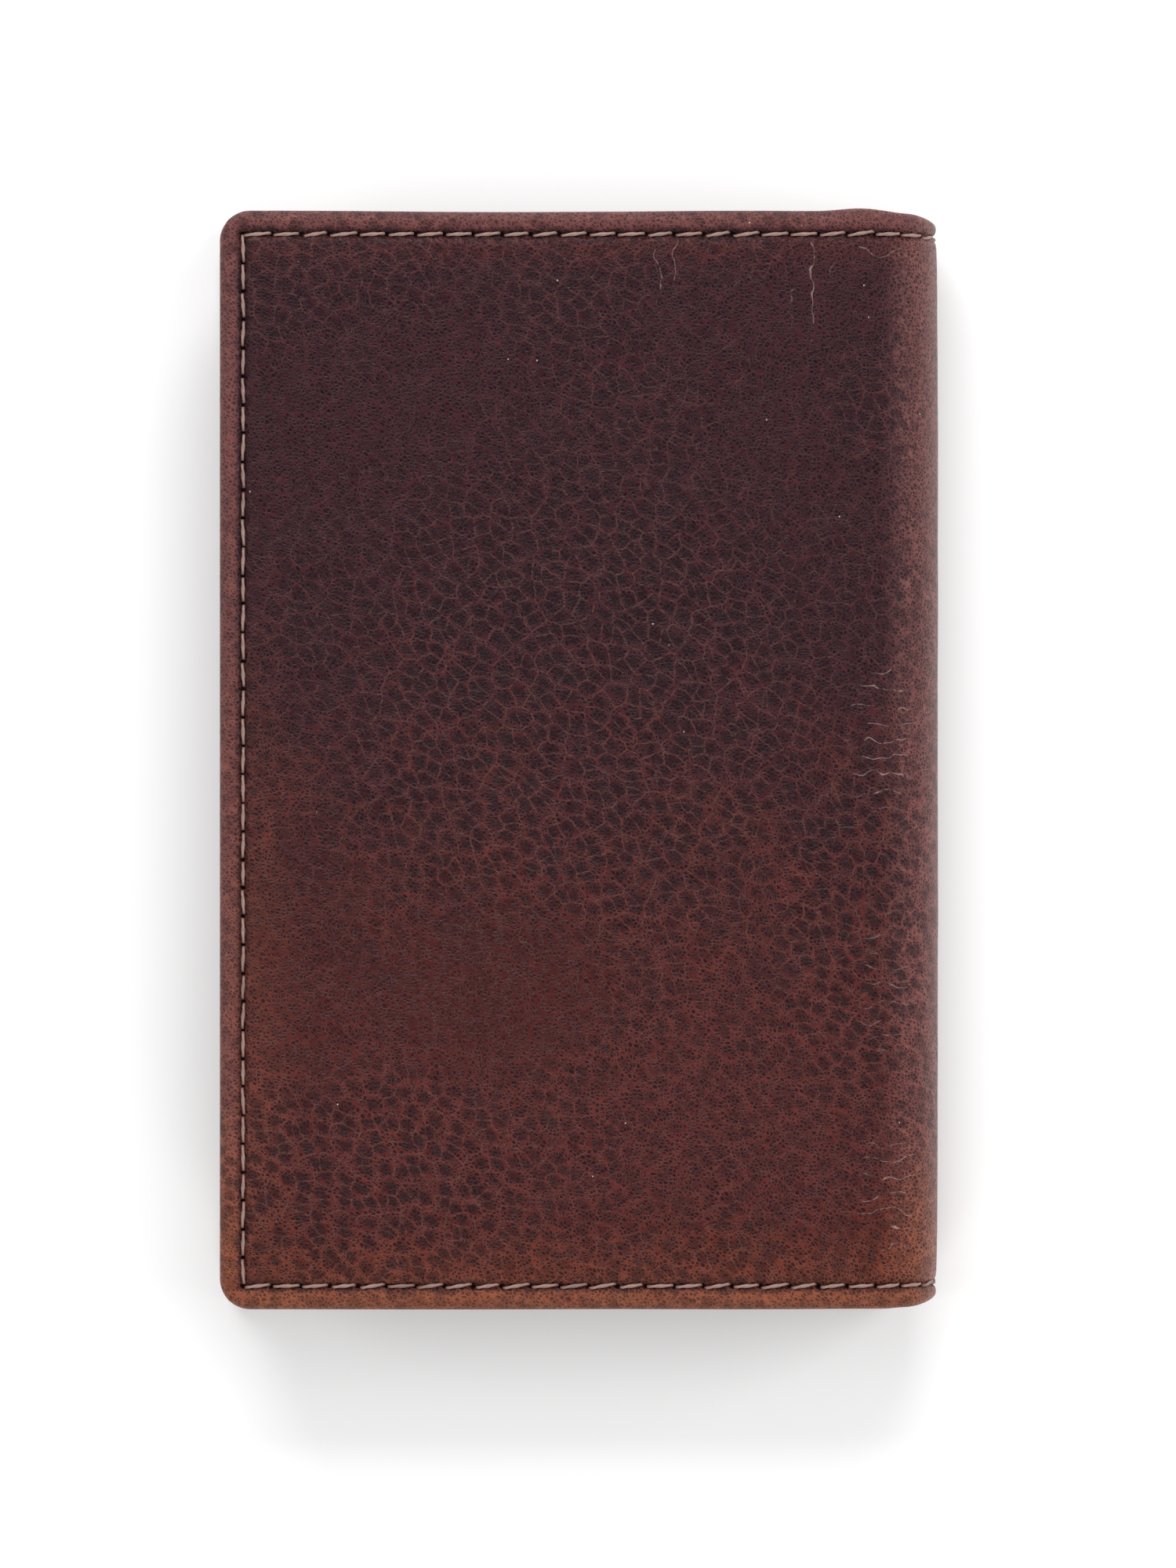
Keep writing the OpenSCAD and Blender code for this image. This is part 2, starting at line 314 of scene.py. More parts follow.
def cover_leather(sizes, colours):
    """Waxed, grained leather. It follows the cover's own flat place: run, height and the
    distance to the nearest edge, in millimetres once scaled."""
    def draw(net):
        place = net.scaled(net.flat_place(), 1 / MM, 1 / MM, 1 / MM)
        run, height, inset = net.split(place)
        plane = net.scaled(place, 1.0, 1.0, 0.0)
        hide = net.shaken(plane, 0.2, 1.1, Detail=0.0)
        wobbly = net.shaken(plane, 0.6, 0.9)
        patch = net.noise(plane, 0.05, 2.0)
        cloud = net.noise(plane, 0.12, 3.0, 0.6)
        mottle = net.noise(hide, 0.5, 4.0, 0.65)
        fine = net.noise(hide, 1.6, 3.0, 0.6)

        def at(*where):
            return spot(net, run, height, *where)

        # Where the hide is pebbled, and where it is smooth and shines: less rough there, and
        # painted lighter as sheen.
        pebbled = most(at(0, 4, 34, 36), at(-20, -41, 24, 16), at(27, -16, 12, 26),
                       net.step(0.4, 0.62, patch) * 0.7, net.step(34.0, 20.0, height) * 0.45)
        polished_sheen = most(at(-9, -22, 17, 11), at(-26, -20, 10, 16) * 0.7)
        pebbled = pebbled * (1 - polished_sheen * 0.7)

        # The fine grain: dark cells in a net of thin pale lines, drawn out along the hide.
        hide_turn = -37
        pores_per_mm, pebbles_per_mm, creases_per_mm = 2.9, 0.62, 0.5
        pore_place = net.turned(hide, hide_turn, (0.82, 1.18))
        pore_edge = net.cells(pore_place, pores_per_mm, "DISTANCE_TO_EDGE")
        net_lines = 1 - net.step(0.0, 0.26, pore_edge + (fine - 0.5) * 0.24)
        pore = 1 - net.step(0.05, 0.45, net.cells(pore_place, pores_per_mm))

        # Pebbles: dark round spots, each in a pale crease of its own.
        pebble_place = net.turned(wobbly, hide_turn, (0.84, 1.16))
        pebble = 1 - net.step(0.18, 0.5, net.cells(pebble_place, pebbles_per_mm, "F1", "2D"))
        pebble = pebble * pebbled * net.step(0.3, 0.5, mottle)
        ring = net.creases(pebble_place, pebbles_per_mm, 0.08) * (pebbled * 0.85 + 0.15)
        ring = ring * net.step(0.32, 0.6, fine)

        # Creases: broken pale hairlines down the hide.
        crease_place = net.turned(wobbly, hide_turn - 2, (0.5, 1.1))
        crease = net.creases(crease_place, creases_per_mm, 0.05)
        crease = crease * net.step(0.45, 0.65, mottle) * (pebbled * 0.6 + 0.4)

        # Wrinkles: sharp and shining, upright under the top seam and level beside the spine. Their
        # shine is partly a painted highlight on their tops.
        drift = net.noise(plane, 0.3, 2.0) * 3.0
        upright = net.ripples(run + drift, 1.9)
        upright = upright * net.step(0.46, 0.56, net.noise(net.scaled(plane, 1.0, 0.25, 0.0), 0.8))
        upright = upright * most(at(8.4, 46.5, 2.4, 7.5), at(22.6, 46.5, 2.6, 7.0))
        level = net.ripples(height + drift, 1.7)
        level = level * net.step(0.43, 0.53, net.noise(net.scaled(plane, 0.4, 1.0, 0.0), 0.8))
        level = level * most(at(29.6, 2.5, 4.0, 9.5), at(30.3, -42.5, 3.6, 8.0),
                             at(29.8, 50.0, 4.0, 2.0), at(29.8, -22.0, 3.2, 9.0) * 0.5)
        wrinkle_and_glint = most(upright * 0.7, level) * net.step(0.36, 0.56, fine)

        # Tone: plum at the top, russet lower down, burnt orange along the bottom. The lightening
        # towards the bottom is partly the leather's dye and partly painted reflection.
        low = net.step(18.0, -30.0, height + (cloud - 0.5) * 50.0)
        ends = net.step(-41.0, -55.0, height + (cloud - 0.5) * 14.0)
        tone = net.mix(low, colour(colours.upper), colour(colours.lower))
        tone = net.mix(most(ends, at(33, -50, 9, 12)) * 0.9, tone, colour(colours.bottom_orange))
        # A paler band along the top: painted sheen.
        tone = net.mix(net.step(46.5, 50.5, height) * 0.5, tone, colour(colours.lower))
        # Rims and spine painted lighter: partly wear, partly painted sheen.
        rim = 1 - net.step(1.3, 2.0, inset)
        from_spine = abs(run - SPINE_MIDDLE / MM)
        spine = 1 - net.step(5.0, 9.9, from_spine)
        wear_and_sheen = net.mix(net.step(-30.0, -50.0, height), colour(colours.wear_and_sheen),
                       colour(colours.wear_and_sheen_low))
        tone = net.mix(most(rim * 0.9, spine * 0.65), tone, wear_and_sheen)
        spine_highlight = 1 - net.step(2.0, 6.0, from_spine)
        # Lighter beside the free edge, lower down.
        side = net.step(9.0, 2.0, inset) * net.step(30.0, -30.0, height)
        tone = net.mix(side * 0.2, tone, colour(colours.wear_and_sheen_low))

        shade = 1 - net.step(0.62, 0.34, mottle) * 0.35
        shade = shade * (1 - pebble * 0.45)
        lines = net.mix(net_lines * shade, net.scaled(tone, 0.5, 0.42, 0.6),
                        net.scaled(tone, 2.7, 2.8, 2.4))
        # The smooth patches and the rims: plainer grain, painted lighter as sheen.
        plain = net.scaled(tone, 1.1, 1.15, 1.1)
        tone = net.mix(most(polished_sheen * 0.5, rim * 0.45), lines, plain)
        # A painted highlight along the spine's fold.
        tone = net.mix(spine_highlight * 0.16, tone, colour(colours.glint))
        dark = colour(colours.pore)
        tone = net.mix(pore * 0.35, tone, dark)
        tone = net.mix(pebble * 0.55, tone, dark)
        tone = net.mix(most(crease * 0.34, ring * 0.42), tone, colour(colours.crease))
        # Painted highlight on the wrinkle tops.
        tone = net.mix(wrinkle_and_glint * 0.8, tone, colour(colours.glint))
        speck = 1 - net.step(0.018, 0.03, net.cells(plane, 0.32))
        speck = speck * net.step(0.45, 0.55, cloud)
        tone = net.mix(speck * 0.8, tone, (0.6, 0.5, 0.45, 1.0))

        # The seam: a groove darkened with painted shade, and a dark hole at each end of every
        # stitch, painted shade in the needle holes.
        groove = 1 - net.step(0.15, 0.6, abs(inset - SEAM_INSET / MM))
        tone = net.mix(groove * 0.35, tone, dark)
        from_top = HALF_H / MM - abs(height)
        across = run.math("MINIMUM", COVER_RUN / MM - run)
        pitch = sizes.stitch_pitch
        hole = most(needle_holes(net, run, from_top, COVER_RUN, pitch, 1.0),
                    needle_holes(net, height + HALF_H / MM, across, 2 * HALF_H, pitch, 0.5))
        # Near-black needle holes: painted shade.
        tone = net.mix(hole * 0.96, tone, (0.004, 0.002, 0.002, 1.0))

        depth = net_lines * 0.5 - pore * 0.3 + fine * 0.3 - pebble * 0.6 + wrinkle_and_glint * 1.5
        depth = depth + crease * 0.4 - hole * 2.0
        dullness = 0.42 + pore * 0.12 - polished_sheen * 0.08 - wrinkle_and_glint * 0.14 + hole * 0.4
        return {"Base Color": tone, "Roughness": dullness, "Normal": net.relief(depth, 0.8, 0.09)}

    return surface("Cover leather", draw, {"Specular IOR Level": 0.17})


def plain_leather(colours):
    """Thin, smooth leather for the inside, with a fine grain."""
    def draw(net):
        place = net.place()
        grain = net.cells(net.turned(place, 20, (1.0, 1.15)), 2100.0)
        cloud = net.noise(place, 60.0, 4.0, 0.6)
        net_lines = net.step(0.1, 0.6, grain)
        tone = net.mix(cloud, colour(colours.inner), colour(colours.inner_pale))
        tone = net.mix((1 - net_lines) * 0.4, tone, colour(colours.pore))
        return {"Base Color": tone, "Roughness": 0.62 - cloud * 0.14,
                "Normal": net.relief(net_lines, 0.5, 0.04)}

    return surface("Inner leather", draw, {"Specular IOR Level": 0.25})


def twill(name, dark, pale, threads_per_mm):
    """Woven cloth with slanting ribs, for the lining and the gusset."""
    def draw(net):
        place = net.flat_place()
        x, y, _ = net.split(place)
        turn = 2 * math.pi * threads_per_mm / MM
        rib = ((x + y) * (turn / 2)).math("SINE")
        weft = (y * turn).math("SINE")
        weave = rib * 0.35 + weft * 0.15 + 0.5
        fuzz = net.noise(place, 900.0, 3.0, 0.6)
        tone = net.mix(weave * 0.7 + fuzz * 0.3, colour(dark), colour(pale))
        return {"Base Color": tone, "Roughness": 0.95 - weave * 0.15,
                "Normal": net.relief(weave, 0.5, 0.06)}

    return surface(name, draw, {"Specular IOR Level": 0.25})


def waxed_thread(colours):
    def draw(net):
        place = net.place()
        strand = net.noise(place, 2600.0, 3.0, 0.7)
        soil = net.noise(place, 130.0, 2.0)
        tone = net.mix(strand, colour(colours.thread_dark), colour(colours.thread))
        tone = net.mix(net.step(0.5, 0.75, soil) * 0.6, tone, colour(colours.thread_dark))
        return {"Base Color": tone, "Roughness": 0.6 - strand * 0.2,
                "Normal": net.relief(strand, 0.6, 0.04)}

    return surface("Waxed thread", draw, {"Specular IOR Level": 0.5})


def pressed_fibre(name, dark, pale, scale):
    """Fibre board or felt, which the finished case hides."""
    def draw(net):
        place = net.place()
        fibres = net.noise(net.turned(place, 15, (1.0, 3.0)), scale, 5.0, 0.7)
        tone = net.mix(fibres, colour(dark), colour(pale))
        return {"Base Color": tone, "Roughness": 0.98 - fibres * 0.1,
                "Normal": net.relief(fibres, 0.4, 0.05)}

    return surface(name, draw, {"Specular IOR Level": 0.2})


def backdrop_paper():
    def draw(net):
        place = net.place()
        return {"Roughness": net.noise(place, 400.0, 3.0) * 0.05 + 0.9}

    return surface("Pale paper", draw, {"Base Color": (0.97, 0.97, 0.97, 1.0)})


# Making meshes ----------------------------------------------------------------------------------


def add_mesh(name, points, faces, finish, flat=None, normals=None):
    """A new smooth mesh object in the scene, with its flat place kept as an attribute."""
    mesh = bpy.data.meshes.new(name)
    mesh.from_pydata(points, [], faces)
    mesh.shade_smooth()
    mesh.materials.append(finish)
    if flat is not None:
        place = mesh.attributes.new("flat", "FLOAT_VECTOR", "POINT")
        place.data.foreach_set("vector", np.asarray(flat, np.float32).ravel())
    if normals is not None:
        mesh.normals_split_custom_set_from_vertices(normals)
    made = bpy.data.objects.new(name, mesh)
    bpy.context.scene.collection.objects.link(made)
    return made


def fit(piece, body, node):
    """Fixes a finished piece to the body it moves with."""
    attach(piece, body)
    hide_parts(node)


def bend_at_fold(piece, index):
    """Bakes a piece's place into its mesh. It works out the turn at its fold's middle, but nothing
    uses it.
    """
    turn = (index + 0.5) * FOLD_TURN
    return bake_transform(piece)


def closing_faces(faces):
    """The faces that close the open borders of others."""
    sides = {pair for face in faces for pair in zip(face, (*face[1:], face[0]))}
    onward = {b: a for a, b in sides if (b, a) not in sides}
    found = []
    while onward:
        start, place = onward.popitem()
        loop = [start]
        while place != start:
            loop.append(place)
            place = onward.pop(place)
        found.append(tuple(loop))
    return found


def add_stretches(name, points, faces, finish, flat, stands_for):
    """Cuts a wrapped mesh midway between the folds, and makes one piece of each stretch."""
    whole = bpy.data.meshes.new(name)
    whole.from_pydata(points, [], faces)
    normals = np.zeros(len(points) * 3)
    whole.vertex_normals.foreach_get("vector", normals)
    normals = normals.reshape(-1, 3)
    bpy.data.meshes.remove(whole)
    run = np.array([flat[list(face), 0].mean() for face in faces])
    run = np.clip(run, 0, COVER_RUN - MM)
    made = []
    for index, nodes in enumerate(stands_for):
        chosen = np.flatnonzero((run >= cut_run(index)) & (run < cut_run(index + 1)))
        kept = [faces[k] for k in chosen]
        kept += closing_faces(kept)
        used = np.unique(np.concatenate([np.asarray(face) for face in kept]))
        places = np.full(len(points), -1)
        places[used] = np.arange(len(used))
        kept = [tuple(places[list(face)]) for face in kept]
        piece = add_mesh(f"{name}_{index + 1}", points[used], kept, finish, flat[used],
                         normals[used])
        bend_at_fold(piece, index)
        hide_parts(*nodes)
        made.append(piece)
    return made


def even_lines(breaks, spacing):
    """Numbers from the first break to the last, about evenly spaced between each two breaks."""
    lines = [np.array(breaks[:1])]
    for a, b in zip(breaks, breaks[1:]):
        lines.append(np.linspace(a, b, max(1, round((b - a) / spacing)) + 1)[1:])
    return np.concatenate(lines)


def sheet_grid(insets, spacing, corner_r):
    """A flat grid over the whole cover with fine lines near its edges and round corners.
    Gives its shape, and each point's run, height and distance to the nearest edge."""
    stretches = [cut_run(index) for index in range(1, len(FOLDS))]
    spine = [PANEL_RUN, *stretches, COVER_RUN - PANEL_RUN]
    inner = insets[-1]
    runs = even_lines([inner, *spine, COVER_RUN - inner], spacing)
    runs = np.concatenate([insets[:-1], runs, COVER_RUN - insets[-2::-1]])
    heights = even_lines([inner - HALF_H, HALF_H - inner], spacing)
    heights = np.concatenate([insets[:-1] - HALF_H, heights, HALF_H - insets[-2::-1]])
    run, height = (grid.ravel() for grid in np.meshgrid(runs, heights, indexing="ij"))
    inset = np.minimum(np.minimum(run, COVER_RUN - run), HALF_H - np.abs(height))

    # Each corner's square is drawn in to a quarter circle, ring by ring.
    nearer = np.minimum(run, COVER_RUN - run)
    u = np.clip(1 - nearer / corner_r, 0, 1)
    v = np.clip((np.abs(height) - HALF_H) / corner_r + 1, 0, 1)
    corner = (u > 0) & (v > 0)
    side = np.sign(run - SPINE_MIDDLE)
    shift_run = corner_r * u * (1 - np.sqrt(1 - v * v / 2))
    shift_height = corner_r * v * (1 - np.sqrt(1 - u * u / 2))
    run = run - np.where(corner, side * shift_run, 0)
    height = height - np.where(corner, np.sign(height) * shift_height, 0)
    return (len(runs), len(heights)), run, height, inset


def grid_faces(shape, keep=None):
    """The faces of a grid, all of them or those that keep gives as a table of true or false."""
    index = np.arange(shape[0] * shape[1]).reshape(shape)
    corners = [index[:-1, :-1], index[:-1, 1:], index[1:, 1:], index[1:, :-1]]
    faces = np.stack(corners, axis=-1)
    return faces.reshape(-1, 4) if keep is None else faces[keep]


# The cover --------------------------------------------------------------------------------------


def seam_holes(run, height, pitch, round_hole):
    """How much of a needle hole, from 0 to 1, lies at each place on the cover's outside."""
    depth = np.zeros(len(run))
    for along, across, length in (
        (run, HALF_H - np.abs(height), COVER_RUN),
        (height + HALF_H, np.minimum(run, COVER_RUN - run), 2 * HALF_H),
    ):
        span = length - 2 * SEAM_INSET
        step = span / round(span / pitch)
        place = np.clip(along - SEAM_INSET, 0, span)
        nearest = np.round(place / step) * step + SEAM_INSET
        away = np.hypot(along - nearest, across - SEAM_INSET)
        depth = np.maximum(depth, np.exp(-((away / round_hole) ** 2)))
    return depth


def cover_swell(run, height, inset, sizes):
    """How far the cover's outside stands out from its flat face."""
    outer = smooth(PANEL_RUN - 4 * MM, COVER_RUN - PANEL_RUN, run)
    inside = np.maximum(inset - SEAM_INSET, 0)
    swell = sizes.crown * (1 - np.exp(-inside / (3.2 * MM))) * outer
    swell -= sizes.seam_depth * bump(inset, SEAM_INSET, 0.5 * MM)
    holes = seam_holes(run, height, sizes.stitch_pitch, 0.34 * MM)
    swell -= sizes.hole_depth * holes
    swell += 0.07 * MM * rough(run, height, 16 * MM, 1) * outer * smooth(2 * MM, 8 * MM, inset)
    swell += 0.03 * MM * rough(run, height, 5 * MM, 2) * smooth(1 * MM, 4 * MM, inset)
    return swell * smooth(0.15 * MM, RIM_R, inset)


def edge_drift(run, height):
    """How far the cover's edge stands in from a straight line: at the spine, and elsewhere."""
    away = np.abs(run - SPINE_MIDDLE)
    dip = 0.1 * MM * (1 - smooth(6 * MM, 9 * MM, away))
    dip = dip + 0.5 * MM * (1 - smooth(0, 6 * MM, away))
    dip = dip - 0.3 * MM * bump(away, 11.3 * MM, 2.6 * MM) * (height > 0)
    wander = 0.14 * MM * rough(run, height, 22 * MM, 3)
    return dip, wander


def laid_flat(run, height, inset, corner_r, side):
    """Where the cover's points lie once its rolled rim is laid flat, so that the grain runs on
    round the rim. side is -1 for the outside and 1 for the hem."""
    turn = np.arccos(np.clip(1 - inset / RIM_R, 0, 1))
    extra = RIM_R * (math.pi / 2 + side * turn - np.cos(turn))
    way = np.column_stack([
        np.sign(run - SPINE_MIDDLE) * np.maximum(corner_r - np.minimum(run, COVER_RUN - run), 0),
        np.sign(height) * np.maximum(corner_r - HALF_H + np.abs(height), 0)])
    way /= np.maximum(np.linalg.norm(way, axis=1, keepdims=True), 1e-9)
    return np.column_stack([np.column_stack([run, height]) + way * extra[:, None], inset])


def length(name, description, millimetres, least=0.0):
    return FloatProperty(name=name, description=description, default=millimetres * MM,
                         min=least * MM, unit="LENGTH")


class CASE_PG_sizes(bpy.types.PropertyGroup):
    """Sizes of the leather and the seams."""

    grid_spacing: length("Grid spacing", "Distance between the cover's grid lines", 0.4, 0.1)
    corner_radius: length("Corner radius", "Radius of the cover's free corners", 3.0, 2.5)
    skin_thickness: length("Skin thickness", "Thickness of the cover leather", 1.0, 0.5)
    crown: length("Crown", "How far the front swells out inside its seam", 0.3)
    seam_depth: length("Seam depth", "How deep the seam pulls the leather in", 0.34)
    hole_depth: length("Hole depth", "Depth of the needle holes below the seam", 0.4)
    stitch_pitch: length("Stitch pitch", "Distance from one needle hole to the next", 2.8, 1.0)
    stitch_slant: FloatProperty(
        name="Stitch slant", description="How far each stitch turns off the seam's line",
        default=math.radians(-6.5), unit="ROTATION")
    stitch_share: FloatProperty(
        name="Stitch share", description="Share of the pitch that each stitch covers",
        default=0.9, min=0.3, max=1.0)
    stitch_unevenness: FloatProperty(
        name="Stitch unevenness", description="How far stitches differ in turn and size",
        default=0.08, min=0.0, max=0.3)
    thumb_radius: length("Thumb cut radius", "Radius of the pocket's thumb cut", 10.0, 2.0)
    thumb_back: length("Thumb cut centre", "Distance from the pocket's mouth to its centre", 2.0)
    gusset_thickness: length("Gusset thickness", "Thickness of the gusset's cloth", 0.4, 0.1)
    gusset_flange: length("Gusset flange", "Width of the gusset's flat borders", 2.2, 1.0)
    pleat_depth: length("Pleat depth", "How far the gusset folds in", 3.8, 1.0)
    lining_inset: length("Lining inset", "Distance from the cover's edge to the lining's", 1.0, 0.2)


def paint(name, description, default):
    return FloatVectorProperty(name=name, description=description, default=default,
                               subtype="COLOR", size=3, min=0.0, max=1.0)


class CASE_PG_colours(bpy.types.PropertyGroup):
    """Colours of the leather, thread and cloth."""

    # The cover's colours grow lighter from the top down to the bottom edge: partly dye, partly
    # painted reflection.
    upper: paint("Upper cover", "Cover leather near the top", (0.0185, 0.0041, 0.0066))
    lower: paint("Lower cover", "Cover leather lower down", (0.0405, 0.0078, 0.0076))
    bottom_orange: paint("Bottom edge", "Cover leather along the bottom", (0.047, 0.0069, 0.0036))
    # Lighter colours for the rims and the spine: partly wear, partly painted sheen.
    wear_and_sheen: paint("Edge wear and sheen", "Cover leather at the rims and the spine", (0.095, 0.032, 0.032))
    wear_and_sheen_low: paint("Bottom edge wear and sheen", "The same at the bottom", (0.14, 0.04, 0.021))
    pore: paint("Pores", "Bottom of the grain", (0.008, 0.0015, 0.004))
    crease: paint("Creases", "Pale lines in the grain", (0.16, 0.06, 0.05))
    # A painted highlight colour, for the wrinkle tops and the spine's fold.
    glint: paint("Wrinkles", "Tops of the sharp wrinkles", (0.42, 0.27, 0.25))
    inner: paint("Inner leather", "Leather of the pocket and slots", (0.03, 0.0105, 0.009))
    inner_pale: paint("Inner leather, pale", "Paler clouds in it", (0.055, 0.02, 0.015))
    thread: paint("Thread", "Waxed thread", (0.4, 0.26, 0.22))
    thread_dark: paint("Thread, dark", "Soiled thread", (0.15, 0.085, 0.07))
    cloth: paint("Lining", "Lining cloth", (0.035, 0.018, 0.013))
    cloth_pale: paint("Lining, pale", "Ribs of the lining cloth", (0.075, 0.042, 0.03))


def settings():
    return bpy.context.scene.card_case_sizes, bpy.context.scene.card_case_colours


def finish_named(name, make, *values):
    """The material of that name, made once."""
    return bpy.data.materials.get(name) or make(*values)


class CASE_OT_cover(bpy.types.Operator):
    """Make the cover leather, turned in round its edges, in stretches cut between the folds"""

    bl_idname = "card_case.cover"
    bl_label = "Cover leather"

    def execute(self, context):
        sizes, colours = settings()
        roll = np.linspace(0, math.pi / 2, 8)
        insets = RIM_R * (1 - np.cos(roll))
        seam = np.array([1.35, 1.6, 1.8, 1.95, 2.08, 2.2, 2.3, 2.4, 2.52, 2.66, 2.82]) * MM
        insets = np.concatenate([insets, seam, [sizes.corner_radius]])
        hem_lines = len(insets) - 2
        shape, run, height, inset = sheet_grid(insets, sizes.grid_spacing, sizes.corner_radius)

        dip, wander = edge_drift(run, height)
        near_edge = np.clip(1 - inset / SEAM_INSET, 0, 1)
        middle = np.clip(1 - inset / (2 * sizes.corner_radius), 0, 1)
        height = height - np.sign(height) * (dip * near_edge + wander * middle)
        swell = cover_swell(run, height, inset, sizes)
        round_depth = rounded(inset, RIM_R)
        flat = laid_flat(run, height, inset, sizes.corner_radius, -1)
        hem_flat = laid_flat(run, height, inset, sizes.corner_radius, 1)
        outside = wrap(run, height, round_depth - swell)

        # The hem is the grid's border again, on the inner side, then the skin's underside.
        index = np.arange(shape[0] * shape[1]).reshape(shape)
        i, j = np.indices(shape)
        ring = np.minimum(np.minimum(i, shape[0] - 1 - i), np.minimum(j, shape[1] - 1 - j))
        border = (ring > 0) & (ring <= hem_lines)
        hem = index[border]
        hem_points = wrap(run, height, 2 * RIM_R - round_depth)[hem]
        under = index[ring == hem_lines]
        under_points = wrap(run, height, sizes.skin_thickness)[under]
        points = np.concatenate([outside, hem_points, under_points])
        flat = np.concatenate([flat, hem_flat[hem], flat[under]])

        inner = index.copy().ravel()
        inner[hem] = len(outside) + np.arange(len(hem))
        cap = index.copy().ravel()
        cap[under] = len(outside) + len(hem) + np.arange(len(under))
        low_ring = ring[:-1, :-1]
        face_ring = np.minimum(np.minimum(low_ring, ring[1:, 1:]),
                               np.minimum(ring[1:, :-1], ring[:-1, 1:]))
        faces = [tuple(face) for face in grid_faces(shape)]
        hem_faces = inner[grid_faces(shape, face_ring < hem_lines)]
        faces += [tuple(face[::-1]) for face in hem_faces]
        cap = cap.reshape(shape)
        inner = inner.reshape(shape)
        first, last_i, last_j = hem_lines, shape[0] - 1 - hem_lines, shape[1] - 1 - hem_lines
        rows = range(first, last_i)
        columns = range(first, last_j)
        for a, b in ((k, k + 1) for k in rows):
            faces.append((inner[a, first], inner[b, first], cap[b, first], cap[a, first]))
            faces.append((inner[b, last_j], inner[a, last_j], cap[a, last_j], cap[b, last_j]))
        for a, b in ((k, k + 1) for k in columns):
            faces.append((inner[first, b], inner[first, a], cap[first, a], cap[first, b]))
            faces.append((inner[last_i, a], inner[last_i, b], cap[last_i, b], cap[last_i, a]))
        for a in range(first + 1, last_i - 1):
            faces.append((cap[a, first], cap[a + 1, first], cap[a + 1, last_j], cap[a, last_j]))
        start = [cap[first, k] for k in range(last_j, first - 1, -1)]
        faces.append(tuple(start + [cap[first + 1, first], cap[first + 1, last_j]]))
        end = [cap[last_i, k] for k in range(first, last_j + 1)]
        faces.append(tuple(end + [cap[last_i - 1, last_j], cap[last_i - 1, first]]))

        finish = finish_named("Cover leather", cover_leather, sizes, colours)
        stands_for = (["back_cover"], ["spine_leather_1"], ["spine_leather_2", "spine_leather_3"],
                      ["front_cover"])
        add_stretches("cover_leather", points, faces, finish, flat, stands_for)
        return {"FINISHED"}


# Layers under the cover, and the lining ---------------------------------------------------------


def layer(name, edge, depths, spacing, finish, stands_for, sag=0.0):
    """A sheet that lies all over the cover between two depths, edge in from the cover's edge."""
    outer_depth, inner_depth = depths
    radius = (inner_depth - outer_depth) / 2
    corner_r = 2.2 * MM
    turn = np.linspace(0, math.pi / 2, 4)
    insets = np.concatenate([radius * (1 - np.cos(turn)), [corner_r]])
    shape, run, height, inset = sheet_grid(insets + edge, spacing, corner_r + edge)
    inset = inset - edge
    drop = rounded(inset, radius)
    weave_sag = sag * rough(run, height, 9 * MM, 5) * smooth(1 * MM, 6 * MM, inset)
    outer = wrap(run, height, outer_depth + drop)
    inner = wrap(run, height, inner_depth - drop + weave_sag)
    index = np.arange(len(run)).reshape(shape)
    i, j = np.indices(shape)
    on_edge = (i == 0) | (j == 0) | (i == shape[0] - 1) | (j == shape[1] - 1)
    second = index.ravel().copy()
    lifted = index[~on_edge]
    second[lifted] = len(run) + np.arange(len(lifted))
    faces = grid_faces(shape)
    faces = [tuple(face) for face in faces] + [tuple(face[::-1]) for face in second[faces]]
    flat = np.column_stack([run, height, inset])
    points = np.concatenate([outer, inner[lifted]])
    flat = np.concatenate([flat, flat[lifted]])
    return add_stretches(name, points, faces, finish, flat, stands_for)


def stretches_of(part):
    """The nodes of a layer that each stretch of it stands for."""
    spine = [f"spine_{part}_{number}" for number in (1, 2, 3)]
    return [f"back_{part}"], spine[:1], spine[1:], [f"front_{part}"]


class CASE_OT_lining(bpy.types.Operator):
    """Make the lining cloth, which runs all over the inside of the cover"""

    bl_idname = "card_case.lining"
    bl_label = "Lining"

    def execute(self, context):
        sizes, colours = settings()
        cloth = finish_named("Lining cloth", twill, "Lining cloth", colours.cloth,
                             colours.cloth_pale, 2.2)
        back, near, far, front = layer(
            "lining", sizes.lining_inset, (2 * RIM_R, LINED_T), 0.9 * MM, cloth,
            stretches_of("lining"), 0.05 * MM)
        width = cut_run(1) - sizes.lining_inset
        return {"FINISHED"}


